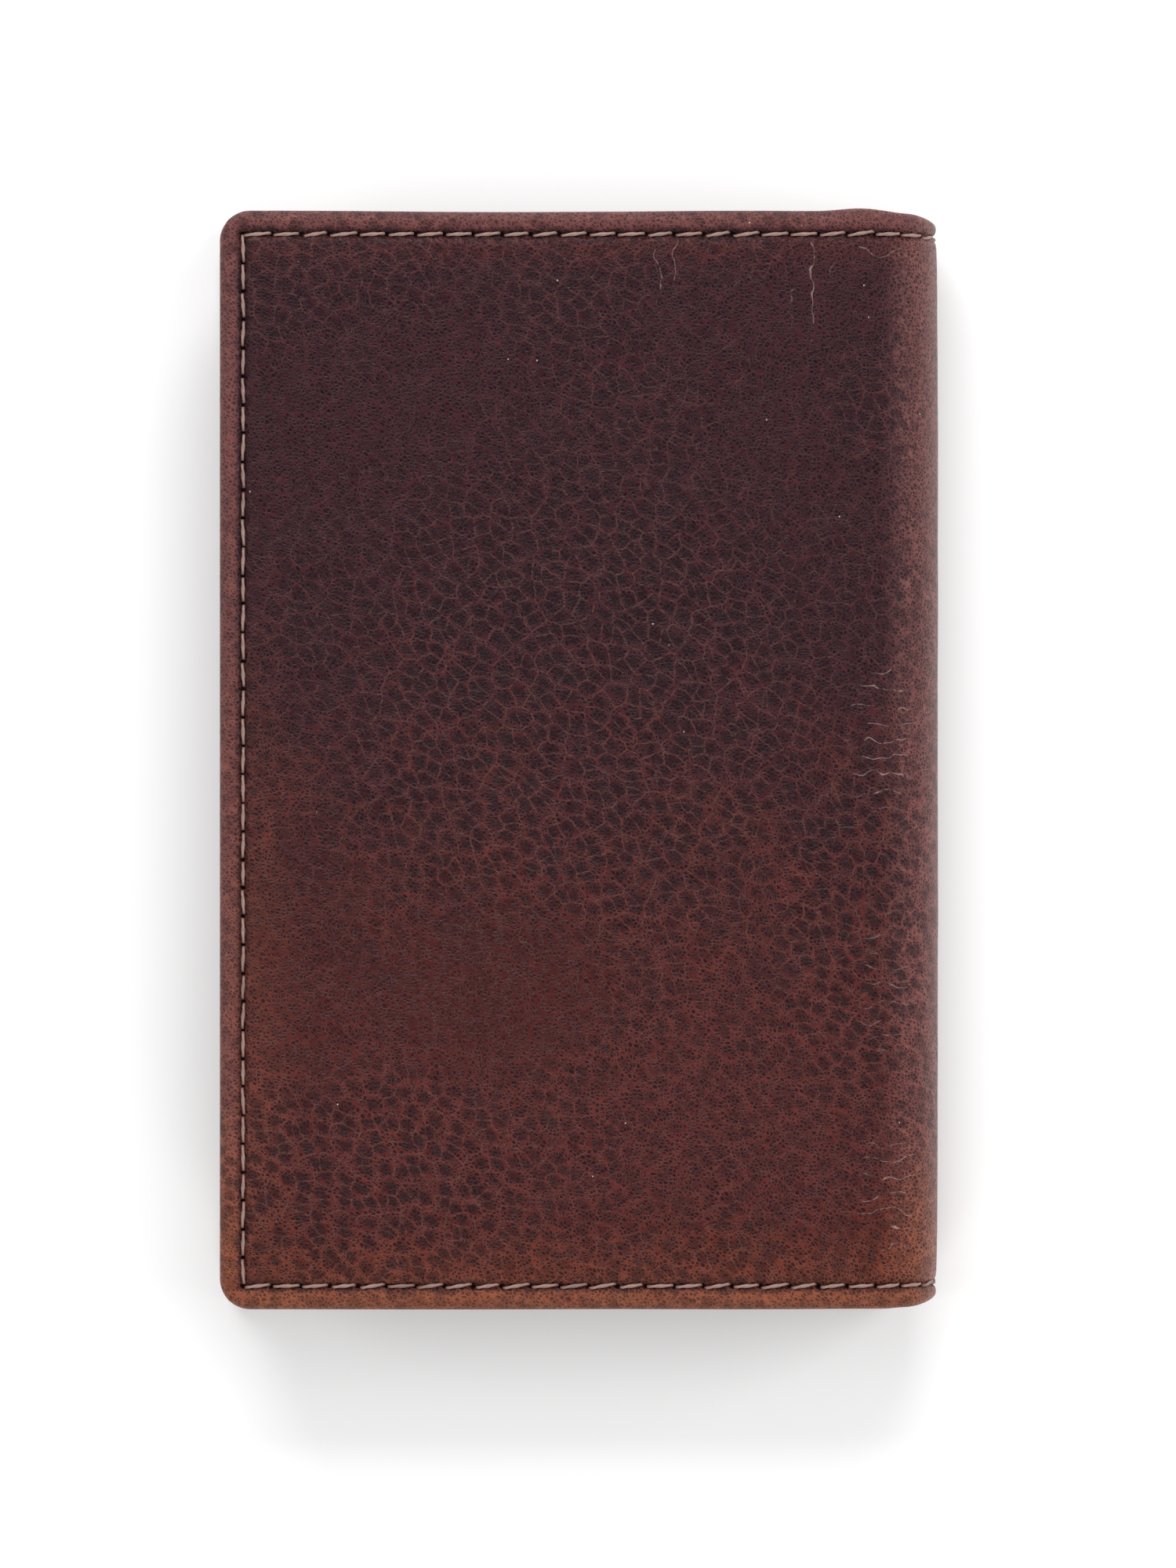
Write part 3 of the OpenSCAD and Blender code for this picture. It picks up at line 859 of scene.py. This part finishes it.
class CASE_OT_hidden_layers(bpy.types.Operator):
    """Make the stiffener and the soft fillers between the cover and the lining"""

    bl_idname = "card_case.hidden_layers"
    bl_label = "Stiffener and fillers"

    def execute(self, context):
        sizes, colours = settings()
        board = finish_named("Bonded board", pressed_fibre, "Bonded board",
                             (0.16, 0.1, 0.06), (0.3, 0.2, 0.12), 700.0)
        felt = finish_named("Filler felt", pressed_fibre, "Filler felt",
                            (0.28, 0.26, 0.24), (0.5, 0.48, 0.45), 1500.0)
        skin = sizes.skin_thickness
        board_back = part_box("back_filler")[0].z
        layer("stiffener", sizes.corner_radius + 0.2 * MM, (skin + 0.02 * MM, board_back),
              2.0 * MM, board, stretches_of("stiffener"))
        for side in ("back", "front"):
            low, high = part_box(f"{side}_filler")
            outline = panel_outline(low, high, 2 * MM, 2 * MM, 3 * MM)
            thick = high.z - low.z
            rings = [(0.0, 0.5), (0.15, 0.82), (0.4, 0.92), (1.2, 0.97), (3.0, 1.0)]
            rings = [(inset * MM, share * thick) for inset, share in rings]
            pad = add_panel(f"{side}_felt", outline, low.z, rings, felt, side == "front")
            fit(pad, side, f"{side}_filler")
        return {"FINISHED"}


# The pocket and the card slots ------------------------------------------------------------------


def arc(centre, radius, start, end, count):
    """Points on an arc, in degrees, in the plane."""
    turn = np.radians(np.linspace(start, end, count))
    return np.column_stack([centre[0] + radius * np.cos(turn), centre[1] + radius * np.sin(turn)])


def panel_outline(low, high, free_r, mouth_r, spacing, notch=None):
    """A panel's outline with round corners, anticlockwise, as a function of how far it is drawn
    in. notch is the thumb cut's centre along X and its radius."""
    def corners(inset):
        left, right = low.x + inset, high.x - inset
        bottom, top = low.y + inset, high.y - inset
        free, mouth = max(free_r - inset, 0.2 * MM), max(mouth_r - inset, 0.1 * MM)
        found = [
            arc((right - mouth, bottom + mouth), mouth, -90, 0, 5),
            arc((right - mouth, top - mouth), mouth, 0, 90, 5),
            arc((left + free, top - free), free, 90, 180, 7),
            arc((left + free, bottom + free), free, 180, 270, 7),
        ]
        if notch:
            centre, radius = notch
            half = math.degrees(math.acos((centre - right) / (radius + inset)))
            found.insert(1, arc((centre, 0), radius + inset, 180 + half, 180 - half, 31))
        return np.concatenate(found)

    def sides(line):
        return list(zip(line, np.roll(line, -1, axis=0)))

    parts = [max(1, round(np.linalg.norm(b - a) / spacing)) for a, b in sides(corners(0))]

    def outline(inset):
        return np.array([a + (b - a) * k / count
                         for count, (a, b) in zip(parts, sides(corners(inset)))
                         for k in range(count)])

    return outline


def filled(line, spacing):
    """Points inside a closed line, and the triangles that fill it with them and its own points."""
    low, high = line.min(axis=0), line.max(axis=0)
    steps = [np.arange(a + spacing / 2, b, spacing) for a, b in zip(low, high)]
    inner = np.stack(np.meshgrid(*steps, indexing="ij"), axis=-1).reshape(-1, 2)
    gap = np.linalg.norm(inner[:, None] - line[None], axis=2).min(axis=1)
    a, b = line, np.roll(line, -1, axis=0)
    x, y = inner[:, :1], inner[:, 1:]
    crosses = (a[:, 1] > y) != (b[:, 1] > y)
    with np.errstate(divide="ignore", invalid="ignore"):
        left = x < (b[:, 0] - a[:, 0]) * (y - a[:, 1]) / (b[:, 1] - a[:, 1]) + a[:, 0]
    inside = (crosses & left).sum(axis=1) % 2 == 1
    inner = inner[inside & (gap > 0.6 * spacing)]
    count = len(line)
    points = [Vector(point) / MM for point in np.concatenate([line, inner])]
    edges = [(k, (k + 1) % count) for k in range(count)]
    found = delaunay_2d_cdt(points, edges, [], 1, 1e-5)
    source = [origin[0] for origin in found[3]]
    return inner, [tuple(source[k] for k in face) for face in found[2]]


def add_panel(name, outline, base, rings, finish, face_down=False):
    """A flat closed panel on the plane z = base. rings gives, from the edge inwards, the distance
    to the edge and the height of the face; the other face is flat with a rounded edge."""
    thick = rings[-1][1]
    count = len(outline(0))
    points, faces = [], []
    for inset, height in [(0.3 * MM, 0.0), (0.12 * MM, 0.14 * thick), *rings]:
        line = outline(inset)
        height = base + (thick - height if face_down else height)
        points.append(np.column_stack([line, np.full(count, height)]))
    for ring in range(len(points) - 1):
        for k in range(count):
            a, b = ring * count + k, ring * count + (k + 1) % count
            faces.append((a, b, b + count, a + count))
    for ring in (0, len(points) - 1):
        inner, triangles = filled(points[ring][:, :2], 2.5 * MM)
        start = sum(len(part) for part in points) - count
        points.append(np.column_stack([inner, np.full(len(inner), points[ring][0, 2])]))
        places = np.concatenate([np.arange(count) + ring * count,
                                 start + count + np.arange(len(inner))])
        triangles = places[np.array(triangles)]
        faces += [tuple(face if ring else face[::-1]) for face in triangles]
    if face_down:
        faces = [face[::-1] for face in faces]
    points = np.concatenate(points)
    return add_mesh(name, points, faces, finish, points)


def edge_rings(thick, marks):
    """A panel face's rings: a rounded edge, then pairs of distance from the edge and depth."""
    turned = np.linspace(0, math.pi / 2, 5)
    radius = 0.4 * thick
    rings = [(radius * (1 - math.cos(a)), thick - radius + radius * math.sin(a)) for a in turned]
    return rings + [(inset * MM, thick - depth * MM) for inset, depth in marks]


class CASE_OT_pocket(bpy.types.Operator):
    """Make the card pocket: its pleated gusset and its leather front with the thumb cut"""

    bl_idname = "card_case.pocket"
    bl_label = "Card pocket"

    def execute(self, context):
        sizes, colours = settings()
        leather = finish_named("Inner leather", plain_leather, colours)
        low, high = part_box("pocket_front")
        thick = high.z - low.z
        outline = panel_outline(low, high, 1.8 * MM, 0.6 * MM, 0.8 * MM,
                                (high.x + sizes.thumb_back, sizes.thumb_radius))
        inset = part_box("pocket_thread")[0].x - low.x + THREAD_D / 2
        seam = inset / MM
        marks = [(0.75, 0.0), (0.9, 0.1), (1.05, 0.12), (1.2, 0.02), (seam - 0.3, 0.06),
                 (seam, 0.24), (seam + 0.3, 0.1), (seam + 0.7, 0.0),
                 (seam + 1.2, 0.0)]
        front = add_panel("pocket_face", outline, low.z, edge_rings(thick, marks), leather)
        fit(front, "pocket", "pocket_front")

        thread = finish_named("Waxed thread", waxed_thread, colours)
        points, faces = sew([(outline(inset), 0.0, True)], sizes, thread)
        points[:, 2] += high.z - 0.16 * MM
        piece = add_mesh("pocket_stitches", points, faces, thread)
        fit(piece, "pocket", "pocket_thread")
        self.add_gusset(sizes, colours)
        return {"FINISHED"}

    def add_gusset(self, sizes, colours):
        """A strip of cloth round three sides, folded inwards along its middle."""
        low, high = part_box("pocket_gusset")
        cloth = finish_named("Gusset cloth", twill, "Gusset cloth", colours.cloth,
                             colours.cloth_pale, 3.0)
        half = sizes.gusset_thickness / 2
        flange, fold = sizes.gusset_flange, sizes.gusset_flange + sizes.pleat_depth
        rise = (high.z - low.z) / 2
        # The strip's middle line, as distance in from its edge and height above the lining.
        line = np.array([(0.0, half), (flange * 0.6, half), (flange, half + 0.12 * MM),
                         (flange + 0.8 * MM, half + 0.5 * MM), (fold - 0.5 * MM, rise - 0.4 * MM),
                         (fold, rise - 0.12 * MM)])
        line = np.concatenate([line, (line * (1, -1) + (0, 2 * rise))[::-1]])
        along = np.gradient(line, axis=0)
        along /= np.linalg.norm(along, axis=1, keepdims=True)
        side = np.column_stack([-along[:, 1], along[:, 0]]) * half
        section = np.concatenate([line + side, (line - side)[::-1]])
        distance = way_along(line)
        across = np.concatenate([distance, distance[::-1]])

        rings, flat = [], []
        for (inset, height), place in zip(section, across):
            corner = max(1.8 * MM - inset, 0.5 * MM)
            a = low + Vector((inset, inset, 0))
            b = Vector((high.x, high.y - inset, 0))
            path = np.concatenate([
                [(b.x, b.y)], arc((a.x + corner, b.y - corner), corner, 90, 180, 9),
                arc((a.x + corner, a.y + corner), corner, 180, 270, 9), [(b.x, a.y)]])
            steps = np.array([50, *[1] * 8, 90, *[1] * 8, 50])
            pieces = [p + (q - p) * np.arange(n)[:, None] / n
                      for p, q, n in zip(path, path[1:], steps)]
            path = np.concatenate([*pieces, path[-1:]])
            rings.append(np.column_stack([path, np.full(len(path), low.z + height)]))
            flat.append(np.column_stack([way_along(path), np.full(len(path), place),
                                         np.zeros(len(path))]))
        rings, flat = np.array(rings), np.array(flat)
        wave = 0.1 * MM * rough(flat[..., 0].ravel(), flat[..., 1].ravel(), 4 * MM, 8)
        inner = smooth(flange, fold, section[:, 0])[:, None]
        rings[..., 2] += wave.reshape(rings.shape[:2]) * inner
        rows, count = rings.shape[:2]
        index = np.arange(rows * count).reshape(rows, count)
        faces = []
        for a in range(rows):
            b = (a + 1) % rows
            for k in range(count - 1):
                faces.append((index[a, k], index[a, k + 1], index[b, k + 1], index[b, k]))
        faces.append(tuple(index[:, 0]))
        faces.append(tuple(index[::-1, -1]))
        piece = add_mesh("gusset", rings.reshape(-1, 3), faces, cloth, flat.reshape(-1, 3))
        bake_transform(piece)
        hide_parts("pocket_gusset")


class CASE_OT_card_slots(bpy.types.Operator):
    """Make the stepped leather card slots on the front half"""

    bl_idname = "card_case.card_slots"
    bl_label = "Card slots"

    def execute(self, context):
        sizes, colours = settings()
        leather = finish_named("Inner leather", plain_leather, colours)
        for number in (1, 2, 3):
            low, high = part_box(f"card_slot_{number}")
            outline = panel_outline(low, high, 1.8 * MM, 0.3 * MM, 1.2 * MM)
            marks = [(0.8, 0.0), (1.1, 0.0), (1.25, 0.09), (1.4, 0.1), (1.55, 0.0), (2.2, 0.0)]
            rings = edge_rings(high.z - low.z, marks)
            piece = add_panel(f"slot_{number}", outline, low.z, rings, leather, True)
            fit(piece, "front", f"card_slot_{number}")
        return {"FINISHED"}


# The seams --------------------------------------------------------------------------------------


STITCH_RINGS, STITCH_SIDES = 8, 8


def stitch_mesh():
    """One stitch of twisted two-strand thread, 1 long and 1 thick, with its ends turned down."""
    rings, sides = STITCH_RINGS, STITCH_SIDES
    points = []
    for t in np.linspace(-1, 1, rings):
        end = smooth(0.72, 1.0, abs(t))
        for k in range(sides):
            turn = 2 * math.pi * k / sides
            radius = (0.4 + 0.11 * math.cos(2 * turn - 5.5 * t)) * (1 - 0.25 * end)
            points.append((0.5 * t, radius * math.cos(turn), radius * math.sin(turn) - 0.95 * end))
    faces = []
    for ring in range(rings - 1):
        for k in range(sides):
            a, b = ring * sides + k, ring * sides + (k + 1) % sides
            faces.append((a, a + sides, b + sides, b))
    faces.append(tuple(range(sides)))
    faces.append(tuple(range(rings * sides - 1, (rings - 1) * sides - 1, -1)))
    mesh = bpy.data.meshes.new("stitch")
    mesh.from_pydata(points, [], faces)
    mesh.shade_smooth()
    return mesh


def stitch_tree():
    """Geometry nodes that put a stitch on every point, with small fixed differences."""
    tree = bpy.data.node_groups.new("Stitches", "GeometryNodeTree")
    tree.interface.new_socket("Geometry", in_out="INPUT", socket_type="NodeSocketGeometry")
    for name, kind in (("Stitch", "Object"), ("Finish", "Material"), ("Share", "Float"),
                       ("Thickness", "Float"), ("Unevenness", "Float")):
        tree.interface.new_socket(name, in_out="INPUT", socket_type=f"NodeSocket{kind}")
    tree.interface.new_socket("Geometry", in_out="OUTPUT", socket_type="NodeSocketGeometry")
    net = Net(tree)
    given = net.node("NodeGroupInput")
    inputs = {output.name: Wire(net, output) for output in given.socket.node.outputs}

    def stored(name):
        settings = {"data_type": "FLOAT"}
        return net.node("GeometryNodeInputNamedAttribute", settings, {"Name": name})

    def uneven(seed):
        spread = inputs["Unevenness"]
        return net.node("FunctionNodeRandomValue", {"data_type": "FLOAT"},
                        {2: 0 - spread, 3: spread, 8: seed}, 1)

    heading = net.node("ShaderNodeCombineXYZ", None, {2: stored("heading") + uneven(1)})
    size = net.node("ShaderNodeCombineXYZ", None, {
        0: stored("pitch") * inputs["Share"] * (1 + uneven(2)),
        1: inputs["Thickness"], 2: inputs["Thickness"] * (1 + uneven(3))})
    stitch = net.node("GeometryNodeObjectInfo", None, {"Object": inputs["Stitch"]}, "Geometry")
    placed = net.node("GeometryNodeInstanceOnPoints", None, {
        "Points": inputs["Geometry"], "Instance": stitch, "Rotation": heading, "Scale": size})
    real = net.node("GeometryNodeRealizeInstances", None, {0: placed})
    painted = net.node("GeometryNodeSetMaterial", None,
                       {"Geometry": real, "Material": inputs["Finish"]})
    net.node("NodeGroupOutput", None, {0: painted})
    return tree


def sew(rows, sizes, thread):
    """Stitches along rows in a plane, as points and faces. Each row is its line, how far its
    stitches turn off it, and whether it is a closed line."""
    middles, headings, pitches = [], [], []
    for line, slant, closed in rows:
        line = np.asarray(line, float)
        if closed:
            line = np.concatenate([line, line[:1]])
        way = way_along(line)
        count = round(way[-1] / sizes.stitch_pitch)
        pitch = way[-1] / count
        for number in range(count):
            ends = [[np.interp((number + end) * pitch, way, line[:, axis]) for axis in (0, 1)]
                    for end in (0.12, 0.88)]
            a, b = np.array(ends)
            middles.append((*((a + b) / 2), 0.0))
            headings.append(math.atan2(*(b - a)[::-1]) + slant)
            pitches.append(pitch)
    mesh = bpy.data.meshes.new("stitch_places")
    mesh.from_pydata(middles, [], [])
    for name, values in (("heading", headings), ("pitch", pitches)):
        mesh.attributes.new(name, "FLOAT", "POINT").data.foreach_set("value", values)
    places = bpy.data.objects.new("stitch_places", mesh)
    bpy.context.scene.collection.objects.link(places)
    stitch = bpy.data.objects.new("stitch", stitch_mesh())
    tree = bpy.data.node_groups.get("Stitches") or stitch_tree()
    modifier = places.modifiers.new("Stitches", "NODES")
    modifier.node_group = tree
    values = {"Stitch": stitch, "Finish": thread, "Share": sizes.stitch_share,
              "Thickness": THREAD_D, "Unevenness": sizes.stitch_unevenness}
    for item in tree.interface.items_tree:
        if item.in_out == "INPUT" and item.name in values:
            modifier[item.identifier] = values[item.name]
    bpy.context.view_layer.update()
    ready = places.evaluated_get(bpy.context.evaluated_depsgraph_get())
    made = bpy.data.meshes.new_from_object(ready)
    points = np.zeros(len(made.vertices) * 3)
    made.vertices.foreach_get("co", points)
    faces = [tuple(face.vertices) for face in made.polygons]
    bpy.data.meshes.remove(made)
    for thing in (places, stitch):
        mesh = thing.data
        bpy.data.objects.remove(thing)
        bpy.data.meshes.remove(mesh)
    return points.reshape(-1, 3), faces


def inside_depth(run, gusset_thickness):
    """The depth of the innermost face that the cover's seam comes out of."""
    x = PANEL_END_X - (run - PANEL_RUN - math.pi * SPINE_R)
    depth = np.full(len(run), LINED_T)
    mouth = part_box("pocket_gusset")[1].x - LOW.x
    depth[run < mouth] += gusset_thickness
    for number in (1, 2, 3):
        low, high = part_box(f"card_slot_{number}")
        depth = np.where((run > SPINE_MIDDLE) & (x < high.x), HIGH.z - low.z, depth)
    return depth


class CASE_OT_cover_seam(bpy.types.Operator):
    """Sew the seam round the cover, outside and inside"""

    bl_idname = "card_case.cover_seam"
    bl_label = "Cover seam"

    def execute(self, context):
        sizes, colours = settings()
        thread = finish_named("Waxed thread", waxed_thread, colours)
        a, b = SEAM_INSET, COVER_RUN - SEAM_INSET
        top = HALF_H - SEAM_INSET
        slant = sizes.stitch_slant
        rows = [([(a, -top), (b, -top)], slant, False), ([(a, top), (b, top)], slant, False),
                ([(a, -top), (a, top)], 0.0, False), ([(b, -top), (b, top)], 0.0, False)]
        points, faces = sew(rows, sizes, thread)
        run, height, lift = points.T
        dip, _ = edge_drift(run, height)
        at_edge = np.abs(height) > HALF_H - 1.5 * SEAM_INSET
        height = height - np.sign(height) * dip * 0.3 * at_edge
        outside = wrap(run, height, 0.2 * MM - lift)
        each = STITCH_RINGS * STITCH_SIDES
        middles = points.reshape(-1, each, 3).mean(axis=1)
        depth = np.repeat(inside_depth(middles[:, 0], sizes.gusset_thickness), each)
        inside = wrap(run, height, depth - 0.05 * MM + lift)
        flipped = [tuple(len(points) + k for k in face[::-1]) for face in faces]
        flat = np.repeat(middles, each, axis=0)
        add_stretches("cover_stitches", np.concatenate([outside, inside]), faces + flipped,
                      thread, np.concatenate([flat, flat]), stretches_of("thread"))
        return {"FINISHED"}


# Stage ------------------------------------------------------------------------------------------


def add_light(name, place, aim, size, power, tint=(1.0, 1.0, 1.0)):
    light = bpy.data.lights.new(name, "AREA")
    light.shape = "RECTANGLE"
    light.size, light.size_y = size
    light.energy = power
    light.color = tint
    made = bpy.data.objects.new(name, light)
    made.location = place
    made.rotation_euler = (Vector(aim) - Vector(place)).to_track_quat("-Z", "Y").to_euler()
    bpy.context.scene.collection.objects.link(made)


class CASE_OT_stage(bpy.types.Operator):
    """Make the pale floor, the soft lights and the camera above the case"""

    bl_idname = "card_case.stage"
    bl_label = "Floor, lights and camera"

    def execute(self, context):
        scene = context.scene
        reach = 3.0
        corners = [(-reach, -reach), (reach, -reach), (reach, reach), (-reach, reach)]
        floor = add_mesh("floor", [(x, y, -0.02 * MM) for x, y in corners], [(0, 1, 2, 3)],
                         finish_named("Pale paper", backdrop_paper))

        world = bpy.data.worlds.new("Pale room")
        world.use_nodes = True
        world.node_tree.nodes["Background"].inputs["Color"].default_value = (1, 1, 1, 1)
        world.node_tree.nodes["Background"].inputs["Strength"].default_value = 0.3
        scene.world = world
        middle = (0, 0, HIGH.z)
        add_light("key_light", (-0.05, 0.65, 0.46), middle, (0.7, 0.3), 5.4)
        add_light("right_light", (0.68, 0.1, 0.42), middle, (0.5, 0.3), 3.0)
        add_light("left_light", (-0.68, 0.0, 0.46), middle, (0.6, 0.3), 1.8)
        add_light("near_light", (0.0, -0.68, 0.46), middle, (0.7, 0.3), 3.0)

        lens, view_height = 200.0, 152.6 * MM
        camera = bpy.data.cameras.new("camera")
        camera.lens = lens
        camera.clip_start, camera.clip_end = 0.01, 20.0
        made = bpy.data.objects.new("camera", camera)
        distance = view_height * lens / camera.sensor_width
        made.location = (0.88 * MM, -2.33 * MM, HIGH.z + distance)
        scene.collection.objects.link(made)
        scene.camera = made
        scene.view_settings.view_transform = "Standard"
        return {"FINISHED"}


class CASE_PT_panel(bpy.types.Panel):
    """Lists the case's sizes, colours and pieces"""

    bl_idname = "CASE_PT_panel"
    bl_label = "Business card case"
    bl_space_type = "VIEW_3D"
    bl_region_type = "UI"
    bl_category = "Card case"

    def draw(self, context):
        for group in (context.scene.card_case_sizes, context.scene.card_case_colours):
            for name in group.__annotations__:
                self.layout.prop(group, name)
        for operator in OPERATORS:
            self.layout.operator(operator.bl_idname)


OPERATORS = (CASE_OT_cover, CASE_OT_hidden_layers, CASE_OT_lining, CASE_OT_pocket,
             CASE_OT_card_slots, CASE_OT_cover_seam, CASE_OT_stage)
CLASSES = (CASE_PG_sizes, CASE_PG_colours, *OPERATORS, CASE_PT_panel)


def register():
    for item in CLASSES:
        bpy.utils.register_class(item)
    bpy.types.Scene.card_case_sizes = PointerProperty(type=CASE_PG_sizes)
    bpy.types.Scene.card_case_colours = PointerProperty(type=CASE_PG_colours)


def unregister():
    del bpy.types.Scene.card_case_colours
    del bpy.types.Scene.card_case_sizes
    for item in reversed(CLASSES):
        bpy.utils.unregister_class(item)


def main():
    register()
    bpy.ops.card_case.cover()
    bpy.ops.card_case.hidden_layers()
    bpy.ops.card_case.lining()
    bpy.ops.card_case.pocket()
    bpy.ops.card_case.card_slots()
    bpy.ops.card_case.cover_seam()
    bpy.ops.card_case.stage()


if __name__ == "__main__":
    main()
